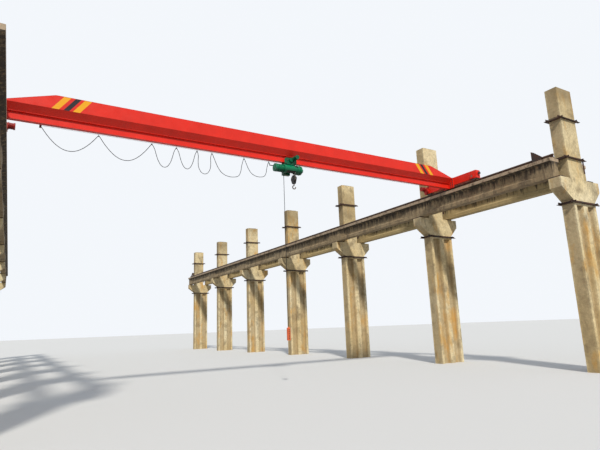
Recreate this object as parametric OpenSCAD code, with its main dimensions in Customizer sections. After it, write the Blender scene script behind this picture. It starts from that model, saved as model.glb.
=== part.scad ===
/* [Runway] */
// Distance between the two rail centre lines
rail_gauge = 15000; // [13000:100:16500]
// Distance between neighbouring columns along the runway
bay_length = 6000; // [5400:100:6600]
// Height of the rail head above the floor
rail_top_z = 6680; // [6200:20:7400]
// Height of the rail section
rail_height = 134; // [120:1:140]
// Width of the rail head
rail_head_width = 68; // [60:1:72]
// Width of the rail foot
rail_foot_width = 114; // [100:1:130]
// Thickness of the grout strip under the rail
grout_height = 20; // [15:1:40]
// Height of the concrete runway beam
beam_height = 630; // [560:10:700]
// Width of the runway beam's top flange
beam_top_width = 470; // [440:10:500]
// Width of the runway beam's bottom flange and end blocks
beam_bottom_width = 300; // [280:10:320]
// Thickness of the runway beam's web
beam_web = 180; // [150:5:200]
// Gap between the ends of neighbouring runway beams
beam_joint = 20; // [10:1:40]

/* [Columns] */
// Depth of the lower column across the runway
column_depth = 1200; // [1100:10:1300]
// Width of the column along the runway
column_width = 400; // [360:10:460]
// Distance from the rail centre line to the column's inner face
column_setback = 370; // [340:10:420]
// Height of the column head above the floor
column_top_z = 8970; // [8600:10:9400]
// Depth of the upper column across the runway
upper_depth = 800; // [700:10:860]
// Reach of the corbel under the crane out from the column's face
corbel_reach = 520; // [500:10:560]
// Reach of the corbel on the column's other side
outer_reach = 380; // [300:10:450]
// Height of the corbel's upright nose
corbel_nose = 320; // [280:10:400]
// Height of the corbel's sloping underside
corbel_slope = 380; // [320:10:460]
// Depth of the channels in each broad face of the lower column
recess_depth = 130; // [90:5:140]
// Width of each channel
recess_width = 370; // [330:5:400]
// Width of the rib on each outer side of the channels
recess_rib = 115; // [90:5:140]
// Size of the steel angle in the column bands
angle_size = 75; // [60:1:90]
// Thickness of the steel angle
angle_thick = 8; // [6:0.5:10]
// Height of the end stops above the rail head
stop_height = 260; // [250:10:320]
// Distance from the last column's centre line to the face of an end stop
stop_setback = 700; // [600:10:900]

/* [Bridge] */
// Centre of the bridge along the runway
bridge_y = -13820; // [-15900:10:15900]
// Height of the girder's bottom flange above the floor
girder_bottom_z = 6620; // [6610:1:6630]
// Height of the rolled beam under the girder
rolled_height = 220; // [210:5:240]
// Width of the rolled beam's flanges
rolled_width = 124; // [120:1:128]
// Thickness of the rolled beam's flanges
flange_thick = 14; // [10:1:16]
// Thickness of the rolled beam's web
rolled_web = 10; // [8:0.5:12]
// Height of the girder's sloping lower plates
slope_height = 150; // [130:5:170]
// Height of the girder's upright side plates
side_height = 350; // [320:5:400]
// Width of the girder box
box_width = 400; // [380:10:440]
// Thickness of the girder's plates
plate_thick = 8; // [6:1:10]
// Length of the sloping top at each end of the girder
taper_length = 1060; // [900:10:1300]
// Height of the upright side plate that is left at the end of the girder
taper_end_height = 25; // [20:1:60]
// Length of the end carriage
carriage_length = 2600; // [2500:10:3000]
// Height of the end carriage
carriage_height = 290; // [290:5:330]
// Width of the end carriage
carriage_width = 220; // [210:5:240]
// Height of the end carriage's underside above the rail head
carriage_lift = 45; // [40:1:50]
// Thickness of the end carriage's plates
carriage_plate = 10; // [8:1:12]
// Distance between the two travel wheels of a carriage
wheel_base = 2240; // [2100:10:2260]
// Tread radius of the travel wheel
wheel_radius = 135; // [130:1:140]
// Height of the travel wheel's side flanges
wheel_flange = 15; // [12:1:18]
// Play on each side of the rail head between the wheel's flanges
wheel_play = 6; // [5:0.5:8]
// Radius of the travel wheel's axle
axle_radius = 30; // [26:1:34]
// Thickness of the bolted joint plates
joint_plate = 16; // [12:1:20]
// Length of the buffers
buffer_length = 80; // [60:5:100]
// Radius of the buffers
buffer_radius = 50; // [40:1:60]

/* [Trolley and hoist] */
// Centre of the trolley along the girder
trolley_x = 280; // [-400:10:400]
// Distance between the trolley's wheels along the girder
trolley_base = 240; // [220:5:260]
// Tread radius of the trolley's wheels
trolley_wheel_radius = 60; // [56:1:64]
// Length of the trolley's side plates
trolley_plate_length = 430; // [410:5:460]
// Thickness of the trolley's side plates
trolley_plate = 12; // [10:1:16]
// Height of the hoist's axis above the floor
hoist_z = 6430; // [6415:5:6440]
// Radius of the hoist's drum casing
casing_radius = 140; // [134:1:146]
// Length of the hoist's drum casing
casing_length = 440; // [420:5:460]
// Length of the hoist motor with its fan cover
motor_length = 320; // [300:5:340]
// Radius of the hoist motor
motor_radius = 122; // [116:1:128]
// Length of the hoist's gearbox
gearbox_length = 230; // [200:5:250]
// Radius of the hoist's gearbox
gearbox_radius = 150; // [144:1:152]
// Radius of the rope drum at the rope's centre line
drum_radius = 100; // [96:1:104]
// Radius of the hoist rope
rope_radius = 6; // [5:0.5:7]

/* [Hook] */
// Place of the hook along the girder, measured from the trolley's centre
hook_offset = 150; // [80:5:160]
// Height of the sheave's axis above the floor at rest
sheave_z = 6160; // [6120:5:6165]
// Thickness of the hook block's cheek plates
cheek_thick = 12; // [10:1:16]
// Radius of the hook's bowl at its centre line
hook_bowl = 52; // [48:1:56]
// Radius of the hook's bar
hook_bar = 17; // [15:1:19]

/* [Festoon and pendant] */
// Radius of the festoon wire
wire_radius = 3; // [2:0.5:4]
// Radius of the festoon and pendant cable
cable_radius = 8; // [7:0.5:9]
// Length of the pendant control box
pendant_length = 360; // [320:10:400]
// Height of the pendant control box's lower end above the floor
pendant_z = 1250; // [1000:10:1500]

/* [Hidden] */
$fn = 48;

// Colours
concrete = "#b9ad85";
weathered = "#8d8266";
dark_steel = "#3a3230";
rail_steel = "#6b5a4c";
crane_red = "#e2231a";
hoist_green = "#0d7a45";
black = "#1e1e20";
rope_grey = "#7d7d78";

// Runway
bays = 6;
row_x = rail_gauge / 2;
rail_length = bays * bay_length - beam_joint;
beam_top_z = rail_top_z - rail_height - grout_height;
bearing_height = 30;
corbel_top_z = beam_top_z - beam_height - bearing_height;
column_face_x = row_x + column_setback;
column_back_x = column_face_x + column_depth;
upper_back_x = column_face_x + upper_depth;
corbel_root_z = corbel_top_z - corbel_nose - corbel_slope;
outer_row_x = upper_back_x + column_setback;
recess_drop = 150;
recess_top_z = corbel_root_z - recess_drop;
recess_splay = 40;
band_overhang = 100;
band_drop = 20;
top_band_drop = 1100;
strap_length = 420;
strap_width = 60;
strap_offset = 30;
cap_length = 560;
cap_width = 340;
cap_height = 20;
bearing_length = 380;
stop_plate = 16;
stop_gap = rail_foot_width / 2 + 6;
stop_width = 2 * (stop_gap + stop_plate);
stop_foot = 320;
stop_lift = 30;
haunch = 60;
low_flange = 120;
top_flange = 110;
grout_width = 150;
function column_y(i) = (i - 1 - bays / 2) * bay_length;

// Bridge
girder_y = bridge_y;
fold_z = girder_bottom_z + rolled_height + slope_height;
box_bottom_z = girder_bottom_z + rolled_height;
box_top_z = fold_z + side_height;
carriage_inner_x = row_x - carriage_width / 2;
girder_end_x = carriage_inner_x - 2 * joint_plate;
carriage_bottom_z = rail_top_z + carriage_lift;
contact_gap = 0.3;
boss_reach = 30;
boss_radius = 85;
axle_end = carriage_width / 2 + boss_reach + 6;
wheel_z = rail_top_z + wheel_radius + contact_gap;
axle_clearance = 0.06;
drive_shaft_z = wheel_z + 95;
drive_step = 60;
gear_case = 90;

// Trolley and hoist
tread_z = girder_bottom_z + flange_thick;
trolley_wheel_z = tread_z + trolley_wheel_radius + contact_gap;
trolley_rim = 9;
trolley_rim_gap = 5;
trolley_side_y = rolled_width / 2 + trolley_rim_gap + 10 + 7;
tie_rod_z = girder_bottom_z - 28;
tie_rod_radius = 15;
casing_start_x = trolley_x - 200;
casing_end_x = casing_start_x + casing_length;
hook_x = trolley_x + hook_offset;
rope_run = 0.1;
drum_contact = 49;
box_gap = 28;
box_length = 240;
box_depth = 120;
box_height = 260;
seat_gap = 0.3;
block_inner = 28;
block_low = 180;
block_bridge = 45;
bowl_drop = 292;

// Festoon
wire_y = girder_y + 300;
wire_z = 6700;
wire_end_x = rail_gauge / 2 - 930;
clamp_z = wire_z - 42;
clamp_length = 30;
// Rest places of the cable hangers, and how far each loop hangs down before it
hanger_x = [-5230, -3870, -3190, -2590, -2140, -1120, -285];
loop_drop = [520, 560, 600, 560, 640, 620, 500];
loop_start_x = -wire_end_x + 25;
loop_rings = 11;
loop_sides = 8;
// Hanging curves as shares of a loop's width and drop: wide, narrow, bellied and leaning loops
loop_shapes = [
    [[0, 0], [0.1, 0.34], [0.2, 0.62], [0.3, 0.83], [0.4, 0.96], [0.5, 1],
     [0.6, 0.96], [0.7, 0.83], [0.8, 0.62], [0.9, 0.34], [1, 0]],
    [[0, 0], [0.1, 0.2], [0.17, 0.45], [0.26, 0.72], [0.38, 0.93], [0.52, 1],
     [0.66, 0.93], [0.78, 0.72], [0.86, 0.45], [0.92, 0.2], [1, 0]],
    [[0, 0], [0.06, 0.2], [0.05, 0.45], [0.09, 0.72], [0.26, 0.93], [0.5, 1],
     [0.74, 0.93], [0.91, 0.72], [0.95, 0.45], [0.94, 0.2], [1, 0]],
    [[0, 0], [0.08, 0.3], [0.15, 0.55], [0.25, 0.79], [0.38, 0.94], [0.53, 1],
     [0.68, 0.99], [0.82, 0.91], [0.9, 0.68], [0.94, 0.34], [1, 0]]
];
loop_kind = [0, 0, 1, 1, 2, 3, 3];

module across(y_centre, width) {
    translate([0, y_centre + width / 2, 0])
        rotate([90, 0, 0])
            linear_extrude(height = width) children();
}

module along_x(start, length) {
    translate([start, 0, 0])
        rotate([90, 0, 90])
            linear_extrude(height = length) children();
}

module along_y(start, length) {
    translate([0, start + length, 0])
        rotate([90, 0, 0])
            linear_extrude(height = length) children();
}

module bar_x(x, y, z, length, radius) {
    translate([x, y, z])
        rotate([0, 90, 0])
            cylinder(h = length, r = radius);
}

module bar_y(x, y, z, length, radius) {
    translate([x, y + length, z])
        rotate([90, 0, 0])
            cylinder(h = length, r = radius);
}

// One precast column: recessed lower shaft, a corbel to each bay, upper shaft
module column_outline() {
    nose_z = corbel_top_z - corbel_nose;
    polygon([
        [column_face_x, 0],
        [column_face_x, corbel_root_z],
        [column_face_x - corbel_reach, nose_z],
        [column_face_x - corbel_reach, corbel_top_z],
        [column_face_x, corbel_top_z],
        [column_face_x, column_top_z],
        [upper_back_x, column_top_z],
        [upper_back_x, corbel_top_z],
        [column_back_x + outer_reach, corbel_top_z],
        [column_back_x + outer_reach, nose_z],
        [column_back_x, corbel_root_z],
        [column_back_x, 0]
    ]);
}

module recess_plan() {
    polygon([
        [0, 0],
        [recess_splay, recess_depth],
        [recess_width - recess_splay, recess_depth],
        [recess_width, 0],
        [recess_width, -10],
        [0, -10]
    ]);
}

module column(i) {
    y = column_y(i);
    starts = [column_face_x + recess_rib, column_back_x - recess_rib - recess_width];
    difference() {
        across(y, column_width) column_outline();
        for (side = [0, 1], x = starts)
            translate([x, y, 0])
                mirror([0, side, 0])
                    translate([0, -column_width / 2, -10])
                        linear_extrude(height = recess_top_z + 10) recess_plan();
    }
}

module columns() {
    color(concrete)
        for (i = [1 : bays + 1]) column(i);
}

// One precast runway beam: flanged section with thickened, tapering end blocks
module beam_section() {
    top = beam_top_z;
    low = beam_top_z - beam_height;
    polygon([
        [-beam_bottom_width / 2, low],
        [beam_bottom_width / 2, low],
        [beam_bottom_width / 2, low + low_flange],
        [beam_web / 2, low + low_flange + haunch],
        [beam_web / 2, top - top_flange - haunch],
        [beam_top_width / 2, top - top_flange],
        [beam_top_width / 2, top],
        [-beam_top_width / 2, top],
        [-beam_top_width / 2, top - top_flange],
        [-beam_web / 2, top - top_flange - haunch],
        [-beam_web / 2, low + low_flange + haunch],
        [-beam_bottom_width / 2, low + low_flange]
    ]);
}

module end_block_plan() {
    block = 520;
    taper = 480;
    sunk = 1;
    half = beam_bottom_width / 2;
    polygon([
        [-half, 0],
        [half, 0],
        [half, block],
        [beam_web / 2 - sunk, block + taper],
        [-beam_web / 2 + sunk, block + taper],
        [-half, block]
    ]);
}

module beam(i, x) {
    length = bay_length - beam_joint;
    start = column_y(i) + beam_joint / 2;
    translate([x, 0, 0]) {
        along_y(start, length) beam_section();
        for (end = [0, 1])
            translate([0, start + end * length, beam_top_z - beam_height + haunch])
                mirror([0, end, 0])
                    linear_extrude(height = beam_height - 2 * haunch) end_block_plan();
        translate([-grout_width / 2, start, beam_top_z])
            cube([grout_width, length, grout_height]);
    }
}

module beams() {
    color(weathered)
        for (i = [1 : bays], x = [row_x, outer_row_x]) beam(i, x);
}

module rail_section() {
    foot = rail_top_z - rail_height;
    head = rail_top_z - 39;
    web = 7;
    foot_edge = 9;
    foot_rise = 26;
    head_rise = 12;
    worn = 5;
    polygon([
        [-rail_foot_width / 2, foot],
        [rail_foot_width / 2, foot],
        [rail_foot_width / 2, foot + foot_edge],
        [web, foot + foot_rise],
        [web, head - head_rise],
        [rail_head_width / 2, head],
        [rail_head_width / 2, rail_top_z - worn],
        [rail_head_width / 2 - worn, rail_top_z],
        [-rail_head_width / 2 + worn, rail_top_z],
        [-rail_head_width / 2, rail_top_z - worn],
        [-rail_head_width / 2, head],
        [-web, head - head_rise],
        [-web, foot + foot_rise],
        [-rail_foot_width / 2, foot + foot_edge]
    ]);
}

module rail() {
    color(rail_steel)
        translate([row_x, 0, 0])
            along_y(-rail_length / 2, rail_length) rail_section();
}

// Bands of steel angle clamped round the columns, and ties over the beam ends
module angle_x(x, y, z, length, out) {
    translate([x, y, z])
        rotate([90, 0, 90])
            linear_extrude(height = length)
                polygon([
                    [0, 0],
                    [out * angle_size, 0],
                    [out * angle_size, angle_thick],
                    [out * angle_thick, angle_thick],
                    [out * angle_thick, angle_size],
                    [0, angle_size]
                ]);
}

module angle_y(x, y, z, length, out) {
    translate([x, y + length, z])
        rotate([90, 0, 0])
            linear_extrude(height = length)
                polygon([
                    [0, 0],
                    [out * angle_size, 0],
                    [out * angle_size, angle_thick],
                    [out * angle_thick, angle_thick],
                    [out * angle_thick, angle_size],
                    [0, angle_size]
                ]);
}

module band(y, z, x0, x1, over_in) {
    reach = angle_size + band_overhang;
    inner = max(reach, over_in);
    for (side = [-1, 1])
        angle_x(x0 - inner, y + side * column_width / 2, z, x1 - x0 + reach + inner, side);
    angle_y(x0, y - column_width / 2 - angle_size, z, column_width + 2 * angle_size, -1);
    angle_y(x1, y - column_width / 2 - angle_size, z, column_width + 2 * angle_size, 1);
}

// Flat strap that hangs from the outer end of each upper band
module strap(y) {
    translate([upper_back_x + strap_offset, y - column_width / 2 - 2 * angle_thick,
               beam_top_z - strap_length])
        cube([strap_width, angle_thick * 2, strap_length + angle_size]);
}

// End stop: an upright plate across the rail's end with two raking gussets behind it
module end_stop(end) {
    face_y = bays / 2 * bay_length - stop_setback;
    top_z = rail_top_z + stop_height;
    mirror([0, end, 0]) {
        for (side = [-1, 1])
            translate([row_x + side * stop_gap - (side < 0 ? stop_plate : 0), 0, 0])
                along_x(0, stop_plate)
                    polygon([
                        [face_y, beam_top_z + grout_height],
                        [face_y, top_z],
                        [face_y + stop_plate, top_z],
                        [face_y + stop_foot, rail_top_z],
                        [face_y + stop_foot, beam_top_z + grout_height]
                    ]);
        translate([row_x - stop_width / 2, face_y, rail_top_z + stop_lift])
            cube([stop_width, stop_plate, stop_height - stop_lift]);
    }
}

module bands() {
    low_z = corbel_root_z - angle_size - band_drop;
    color(dark_steel) {
        for (i = [1 : bays + 1]) {
            band(column_y(i), low_z, column_face_x, column_back_x, 0);
            band(column_y(i), beam_top_z, column_face_x, upper_back_x, 0);
            band(column_y(i), column_top_z - top_band_drop, column_face_x, upper_back_x, 0);
            strap(column_y(i));
        }
        for (end = [0, 1]) end_stop(end);
    }
}

module bearing_plate(x, y) {
    translate([x - beam_bottom_width / 2, y - bearing_length / 2, corbel_top_z])
        cube([beam_bottom_width, bearing_length, bearing_height]);
}

// Bearing plates under the beam ends, and the plate on each column head
module bearing_plates_row() {
    for (i = [1 : bays + 1], x = [row_x, outer_row_x]) bearing_plate(x, column_y(i));
    for (i = [1 : bays + 1])
        translate([(column_face_x + upper_back_x - cap_length) / 2,
                   column_y(i) - cap_width / 2, column_top_z])
            cube([cap_length, cap_width, cap_height]);
}

module bearing_plates() {
    color(dark_steel) {
        bearing_plates_row();
        mirror([1, 0, 0]) bearing_plates_row();
    }
}

// The girder: a folded plate box with sloping lower plates on a rolled beam
module box_section(t) {
    half = box_width / 2 - t;
    low = rolled_width / 2 + 2 - t * 0.5;
    polygon([
        [-half, fold_z + t * 0.3],
        [-low, box_bottom_z + t],
        [low, box_bottom_z + t],
        [half, fold_z + t * 0.3],
        [half, box_top_z - t],
        [-half, box_top_z - t]
    ]);
}

module box_side(t) {
    shoulder_x = girder_end_x - taper_length;
    end_z = fold_z + taper_end_height - t;
    far = t > 0 ? 20 : 0;
    slope = (box_top_z - t - end_z) / taper_length;
    polygon([
        [-girder_end_x - far, box_bottom_z - 10],
        [girder_end_x + far, box_bottom_z - 10],
        [girder_end_x + far, end_z - far * slope],
        [shoulder_x, box_top_z - t],
        [-shoulder_x, box_top_z - t],
        [-girder_end_x - far, end_z - far * slope]
    ]);
}

module girder_solid(t) {
    intersection() {
        translate([0, girder_y, 0])
            along_x(-girder_end_x - 30, 2 * girder_end_x + 60) box_section(t);
        across(girder_y, box_width + 20) box_side(t);
    }
}

module girder_box() {
    color(crane_red)
        difference() {
            girder_solid(0);
            girder_solid(plate_thick);
        }
}

module rolled_section() {
    half = rolled_width / 2;
    web = rolled_web / 2;
    top = girder_bottom_z + rolled_height;
    polygon([
        [-half, girder_bottom_z],
        [half, girder_bottom_z],
        [half, girder_bottom_z + flange_thick],
        [web, girder_bottom_z + flange_thick],
        [web, top - flange_thick],
        [half, top - flange_thick],
        [half, top],
        [-half, top],
        [-half, top - flange_thick],
        [-web, top - flange_thick],
        [-web, girder_bottom_z + flange_thick],
        [-half, girder_bottom_z + flange_thick]
    ]);
}

module girder_beam() {
    color(crane_red)
        translate([0, girder_y, 0])
            along_x(-girder_end_x, 2 * girder_end_x) rolled_section();
}

// Bolted joint between the girder and the carriages: two plates at each end
module joint_pair() {
    half = box_width / 2 + 40;
    low = girder_bottom_z;
    high = fold_z + taper_end_height;
    translate([girder_end_x, girder_y - half, low])
        cube([joint_plate, 2 * half, high - low]);
    translate([girder_end_x + joint_plate, girder_y - half - 12, low + 12])
        cube([joint_plate, 2 * half + 24, high - low - 12]);
}

module joint_plates() {
    color(crane_red) {
        joint_pair();
        mirror([1, 0, 0]) joint_pair();
    }
}

// One end carriage: a plate box, open below over its wheels
module carriage() {
    half = carriage_width / 2;
    pocket = 2 * (wheel_radius + wheel_flange) + 40;
    difference() {
        union() {
            translate([row_x - half, girder_y - carriage_length / 2, carriage_bottom_z])
                cube([carriage_width, carriage_length, carriage_height]);
            for (end = [-1, 1])
                bar_x(row_x - half - boss_reach, girder_y + end * wheel_base / 2, wheel_z,
                      carriage_width + 2 * boss_reach, boss_radius);
        }
        translate([row_x - half + carriage_plate, girder_y - carriage_length / 2 + carriage_plate,
                   carriage_bottom_z + carriage_plate])
            cube([carriage_width - 2 * carriage_plate, carriage_length - 2 * carriage_plate,
                  carriage_height - 2 * carriage_plate]);
        for (end = [-1, 1]) {
            translate([row_x - half + carriage_plate,
                       girder_y + end * wheel_base / 2 - pocket / 2, carriage_bottom_z - 30])
                cube([carriage_width - 2 * carriage_plate, pocket, 60]);
            bar_x(row_x - half - 2 * boss_reach, girder_y + end * wheel_base / 2, wheel_z,
                  carriage_width + 4 * boss_reach, axle_radius + axle_clearance);
        }
    }
}

module end_carriage() {
    color(crane_red) carriage();
}

module buffer_pair() {
    z = carriage_bottom_z + carriage_height / 2 + 20;
    bar_y(row_x, girder_y + carriage_length / 2, z, buffer_length, buffer_radius);
    bar_y(row_x, girder_y - carriage_length / 2 - buffer_length, z, buffer_length, buffer_radius);
}

module buffers() {
    color(black) {
        buffer_pair();
        mirror([1, 0, 0]) buffer_pair();
    }
}

// One travel wheel with two flanges, turned in one piece with its axle
module travel_wheel(end) {
    tread = rail_head_width / 2 + wheel_play;
    rim = 14;
    outer = wheel_radius + wheel_flange;
    color(dark_steel)
        translate([row_x, girder_y + end * wheel_base / 2, wheel_z])
            rotate([0, 90, 0])
                rotate_extrude($fn = 64)
                    polygon([
                        [0, -axle_end],
                        [axle_radius, -axle_end],
                        [axle_radius, -tread - rim],
                        [outer - 8, -tread - rim],
                        [outer, -tread - rim + 6],
                        [outer, -tread - 4],
                        [wheel_radius, -tread],
                        [wheel_radius, tread],
                        [outer, tread + 4],
                        [outer, tread + rim - 6],
                        [outer - 8, tread + rim],
                        [axle_radius, tread + rim],
                        [axle_radius, axle_end],
                        [0, axle_end]
                    ]);
}

// Travel drive on the far wheel's inner side: gear case and ribbed motor
module drive() {
    y = girder_y + wheel_base / 2;
    motor_y = y + drive_step;
    x = row_x - carriage_width / 2 - boss_reach;
    color(crane_red) {
        difference() {
            union() {
                bar_x(x - gear_case, y, wheel_z, gear_case, 92);
                bar_x(x - gear_case, motor_y, drive_shaft_z, gear_case, 84);
            }
            bar_x(x - 12, y, wheel_z, 14, axle_radius + 4);
        }
        bar_x(x - gear_case - 20, motor_y, drive_shaft_z, 20, 96);
        for (k = [0 : 4])
            bar_x(x - gear_case - 34 - k * 18, motor_y, drive_shaft_z, 8, 86);
        bar_x(x - gear_case - 120, motor_y, drive_shaft_z, 120, 76);
        bar_x(x - gear_case - 160, motor_y, drive_shaft_z, 42, 90);
    }
}

// The taut festoon wire with a hanging bracket at each end
module wire_bracket() {
    top_z = fold_z + 90;
    wall_y = girder_y + box_width / 2;
    translate([wire_end_x - 25, wire_y - 4, clamp_z - 20])
        cube([50, 8, top_z - clamp_z + 20]);
    translate([wire_end_x - 25, wall_y, top_z - 8])
        cube([50, wire_y - wall_y + 4, 8]);
    translate([wire_end_x - 25, wall_y, top_z - 70])
        cube([50, 8, 70]);
}

module festoon_wire() {
    color(dark_steel) {
        wire_bracket();
        mirror([1, 0, 0]) wire_bracket();
        bar_x(-wire_end_x, wire_y, wire_z, 2 * wire_end_x, wire_radius);
    }
}

// Trolley: two side plates on tie rods below the rolled beam's flange
module trolley_plate_outline() {
    half = trolley_plate_length / 2;
    low = tie_rod_z - 34;
    polygon([
        [-half + 60, low],
        [half - 60, low],
        [half, low + 40],
        [half, trolley_wheel_z + 20],
        [half - 60, trolley_wheel_z + 75],
        [-half + 60, trolley_wheel_z + 75],
        [-half, trolley_wheel_z + 20],
        [-half, low + 40]
    ]);
}

module trolley_frame() {
    color(hoist_green) {
        for (side = [-1, 1])
            translate([trolley_x, 0, 0])
                across(girder_y + side * (trolley_side_y + trolley_plate / 2), trolley_plate)
                    trolley_plate_outline();
        for (end = [-1, 1])
            bar_y(trolley_x + end * 150, girder_y - trolley_side_y - trolley_plate - 18,
                  tie_rod_z, 2 * (trolley_side_y + trolley_plate + 18), tie_rod_radius);
        tow_arm();
    }
}

module tow_arm() {
    arm_x = trolley_x - trolley_plate_length / 2 + 30;
    end_x = hanger_x[6] + clamp_length / 2 + 12;
    plate_y = girder_y + trolley_side_y + trolley_plate;
    translate([arm_x, plate_y - 2, tie_rod_z - 12])
        cube([24, wire_y + 10 - plate_y, 24]);
    translate([end_x, wire_y - 8, tie_rod_z - 12])
        cube([arm_x - end_x + 24, 16, 24]);
    translate([end_x, wire_y - 8, tie_rod_z - 12])
        cube([14, 16, clamp_z - tie_rod_z + 18]);
}

module trolley_wheel(side) {
    inner = rolled_web / 2 + 14;
    edge = rolled_width / 2 + trolley_rim_gap;
    rotate([side * 90, 0, 0])
        rotate_extrude($fn = 48)
            polygon([
                [0, inner],
                [trolley_wheel_radius - 8, inner],
                [trolley_wheel_radius, inner + 6],
                [trolley_wheel_radius, edge],
                [trolley_wheel_radius + trolley_rim, edge],
                [trolley_wheel_radius + trolley_rim, edge + 10],
                [16, edge + 10],
                [16, edge + 17],
                [0, edge + 17]
            ]);
}

module trolley_wheels() {
    color(black)
        for (side = [-1, 1], end = [-1, 1])
            translate([trolley_x + end * trolley_base / 2, girder_y, trolley_wheel_z])
                trolley_wheel(side);
}

// Travel drive of the trolley on the near side plate
module trolley_drive() {
    y = girder_y - trolley_side_y - trolley_plate;
    color(hoist_green) {
        bar_y(trolley_x, y - 60, trolley_wheel_z + 6, 60, 66);
        bar_y(trolley_x + 100, y - 60, trolley_wheel_z + 40, 60, 60);
        bar_y(trolley_x + 100, y - 90, trolley_wheel_z + 40, 30, 72);
        for (k = [0 : 6])
            bar_y(trolley_x + 100, y - 104 - k * 16, trolley_wheel_z + 40, 7, 64);
        bar_y(trolley_x + 100, y - 220, trolley_wheel_z + 40, 130, 56);
        bar_y(trolley_x + 100, y - 262, trolley_wheel_z + 40, 44, 66);
    }
}

// Hoist: slotted drum casing, grooved drum, ribbed motor and round gearbox
module hoist_casing() {
    color(hoist_green)
        difference() {
            union() {
                bar_x(casing_start_x, girder_y, hoist_z, casing_length, casing_radius);
                for (x = [casing_start_x, casing_end_x - 14])
                    bar_x(x, girder_y, hoist_z, 14, casing_radius + 8);
                lugs();
            }
            bar_x(casing_start_x + 10, girder_y, hoist_z, casing_length - 20, casing_radius - 8);
            translate([casing_start_x + 60, girder_y - drum_radius - 20, hoist_z - casing_radius - 20])
                cube([casing_length - 120, 2 * drum_radius + 40, casing_radius - 10]);
        }
}

module lugs() {
    for (end = [-1, 1])
        difference() {
            translate([trolley_x + end * 150 - 25, girder_y - 60, hoist_z + casing_radius - 30])
                cube([50, 120, tie_rod_z - hoist_z - casing_radius + 50]);
            bar_y(trolley_x + end * 150, girder_y - 70, tie_rod_z, 140, tie_rod_radius + 0.3);
        }
}

module hoist_drum() {
    turns = 24;
    pitch = 2 * rope_radius + 2;
    start = casing_start_x + 45;
    color(rope_grey) {
        bar_x(casing_start_x + 10, girder_y, hoist_z, casing_length - 20, drum_radius - 4);
        for (k = [0 : turns - 1])
            translate([start + k * pitch, girder_y, hoist_z])
                rotate([0, 90, 0])
                    rotate_extrude($fn = 40)
                        translate([drum_radius - 6, 0])
                            square([2 * rope_radius, 2 * rope_radius]);
    }
}

module hoist_motor() {
    start = casing_start_x - motor_length;
    cover = 70;
    color(hoist_green) {
        bar_x(start + cover, girder_y, hoist_z, motor_length - cover, motor_radius - 10);
        for (k = [0 : 11])
            bar_x(start + cover + 14 + k * 18, girder_y, hoist_z, 8, motor_radius);
        bar_x(casing_start_x - 20, girder_y, hoist_z, 20, casing_radius + 8);
        difference() {
            bar_x(start, girder_y, hoist_z, cover + 2, motor_radius + 4);
            for (a = [0 : 30 : 330])
                translate([start, girder_y, hoist_z])
                    rotate([a, 0, 0])
                        translate([-1, -6, 30])
                            cube([12, 12, 60]);
        }
    }
}

module hoist_gearbox() {
    color(hoist_green) {
        bar_x(casing_end_x, girder_y, hoist_z, gearbox_length - 70, gearbox_radius - 12);
        bar_x(casing_end_x, girder_y, hoist_z, 20, gearbox_radius);
        bar_x(casing_end_x + 90, girder_y, hoist_z, 24, gearbox_radius);
        translate([casing_end_x + gearbox_length - 70, girder_y, hoist_z])
            rotate([0, 90, 0])
                cylinder(h = 40, r1 = gearbox_radius - 12, r2 = gearbox_radius - 60, $fn = 48);
        bar_x(casing_end_x + gearbox_length - 30, girder_y, hoist_z, 30, 60);
        for (a = [0 : 45 : 315])
            translate([casing_end_x + 84, girder_y, hoist_z])
                rotate([a, 0, 0])
                    translate([0, 0, gearbox_radius - 14])
                        rotate([0, 90, 0])
                            cylinder(h = 36, r = 12, $fn = 24);
    }
}

module control_box() {
    x = pendant_x - 40;
    y = girder_y + casing_radius + box_gap;
    color(hoist_green) {
        translate([x, y, hoist_z - box_height / 2])
            cube([box_length, box_depth, box_height]);
        difference() {
            for (z = [-40, 10])
                translate([x + 120, y - box_gap - 4, hoist_z + z])
                    cube([100, box_gap + 6, 30]);
            bar_x(x, girder_y, hoist_z, box_length, casing_radius + seat_gap);
        }
        translate([pendant_x, pendant_y, cable_top_z])
            cylinder(h = gland_height + 2, r = 16);
    }
}

// Pendant control on its cable
pendant_x = trolley_x - 80;
pendant_y = girder_y + casing_radius + box_gap + box_depth / 2;
gland_height = 28;
cable_top_z = hoist_z - box_height / 2 - gland_height;
cable_low_z = pendant_z + pendant_length + 30;

module pendant_cable() {
    color(black)
        translate([pendant_x, pendant_y, cable_low_z])
            cylinder(h = cable_top_z - cable_low_z, r = cable_radius, $fn = 12);
}

module pendant() {
    color("#d8471f") {
        translate([pendant_x - 42, pendant_y - 32, pendant_z])
            cube([84, 64, pendant_length]);
        translate([pendant_x, pendant_y, pendant_z + pendant_length])
            cylinder(h = 30, r1 = 24, r2 = 12, $fn = 32);
        for (k = [0 : 5])
            bar_y(pendant_x, pendant_y - 42, pendant_z + 50 + k * 50, 12, 15);
    }
}

// Two falls of rope from the drum to the sheave
module hoist_rope() {
    color(rope_grey) {
        for (side = [-1, 1])
            translate([hook_x, girder_y + side * drum_radius, sheave_z])
                cylinder(h = hoist_z - drum_contact - sheave_z, r = rope_radius - rope_run);
    }
}

module hook_sheave() {
    color(rope_grey)
        translate([hook_x, girder_y, sheave_z])
            rotate([0, 90, 0])
                rotate_extrude($fn = 64)
                    polygon([
                        [0, -block_inner - 20],
                        [18, -block_inner - 20],
                        [18, -20],
                        [drum_radius - 10, -14],
                        [drum_radius + 6, -14],
                        [drum_radius - rope_radius, -6.5],
                        [drum_radius - rope_radius, 6.5],
                        [drum_radius + 6, 14],
                        [drum_radius - 10, 14],
                        [18, 20],
                        [18, block_inner + 20],
                        [0, block_inner + 20]
                    ]);
}

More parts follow.
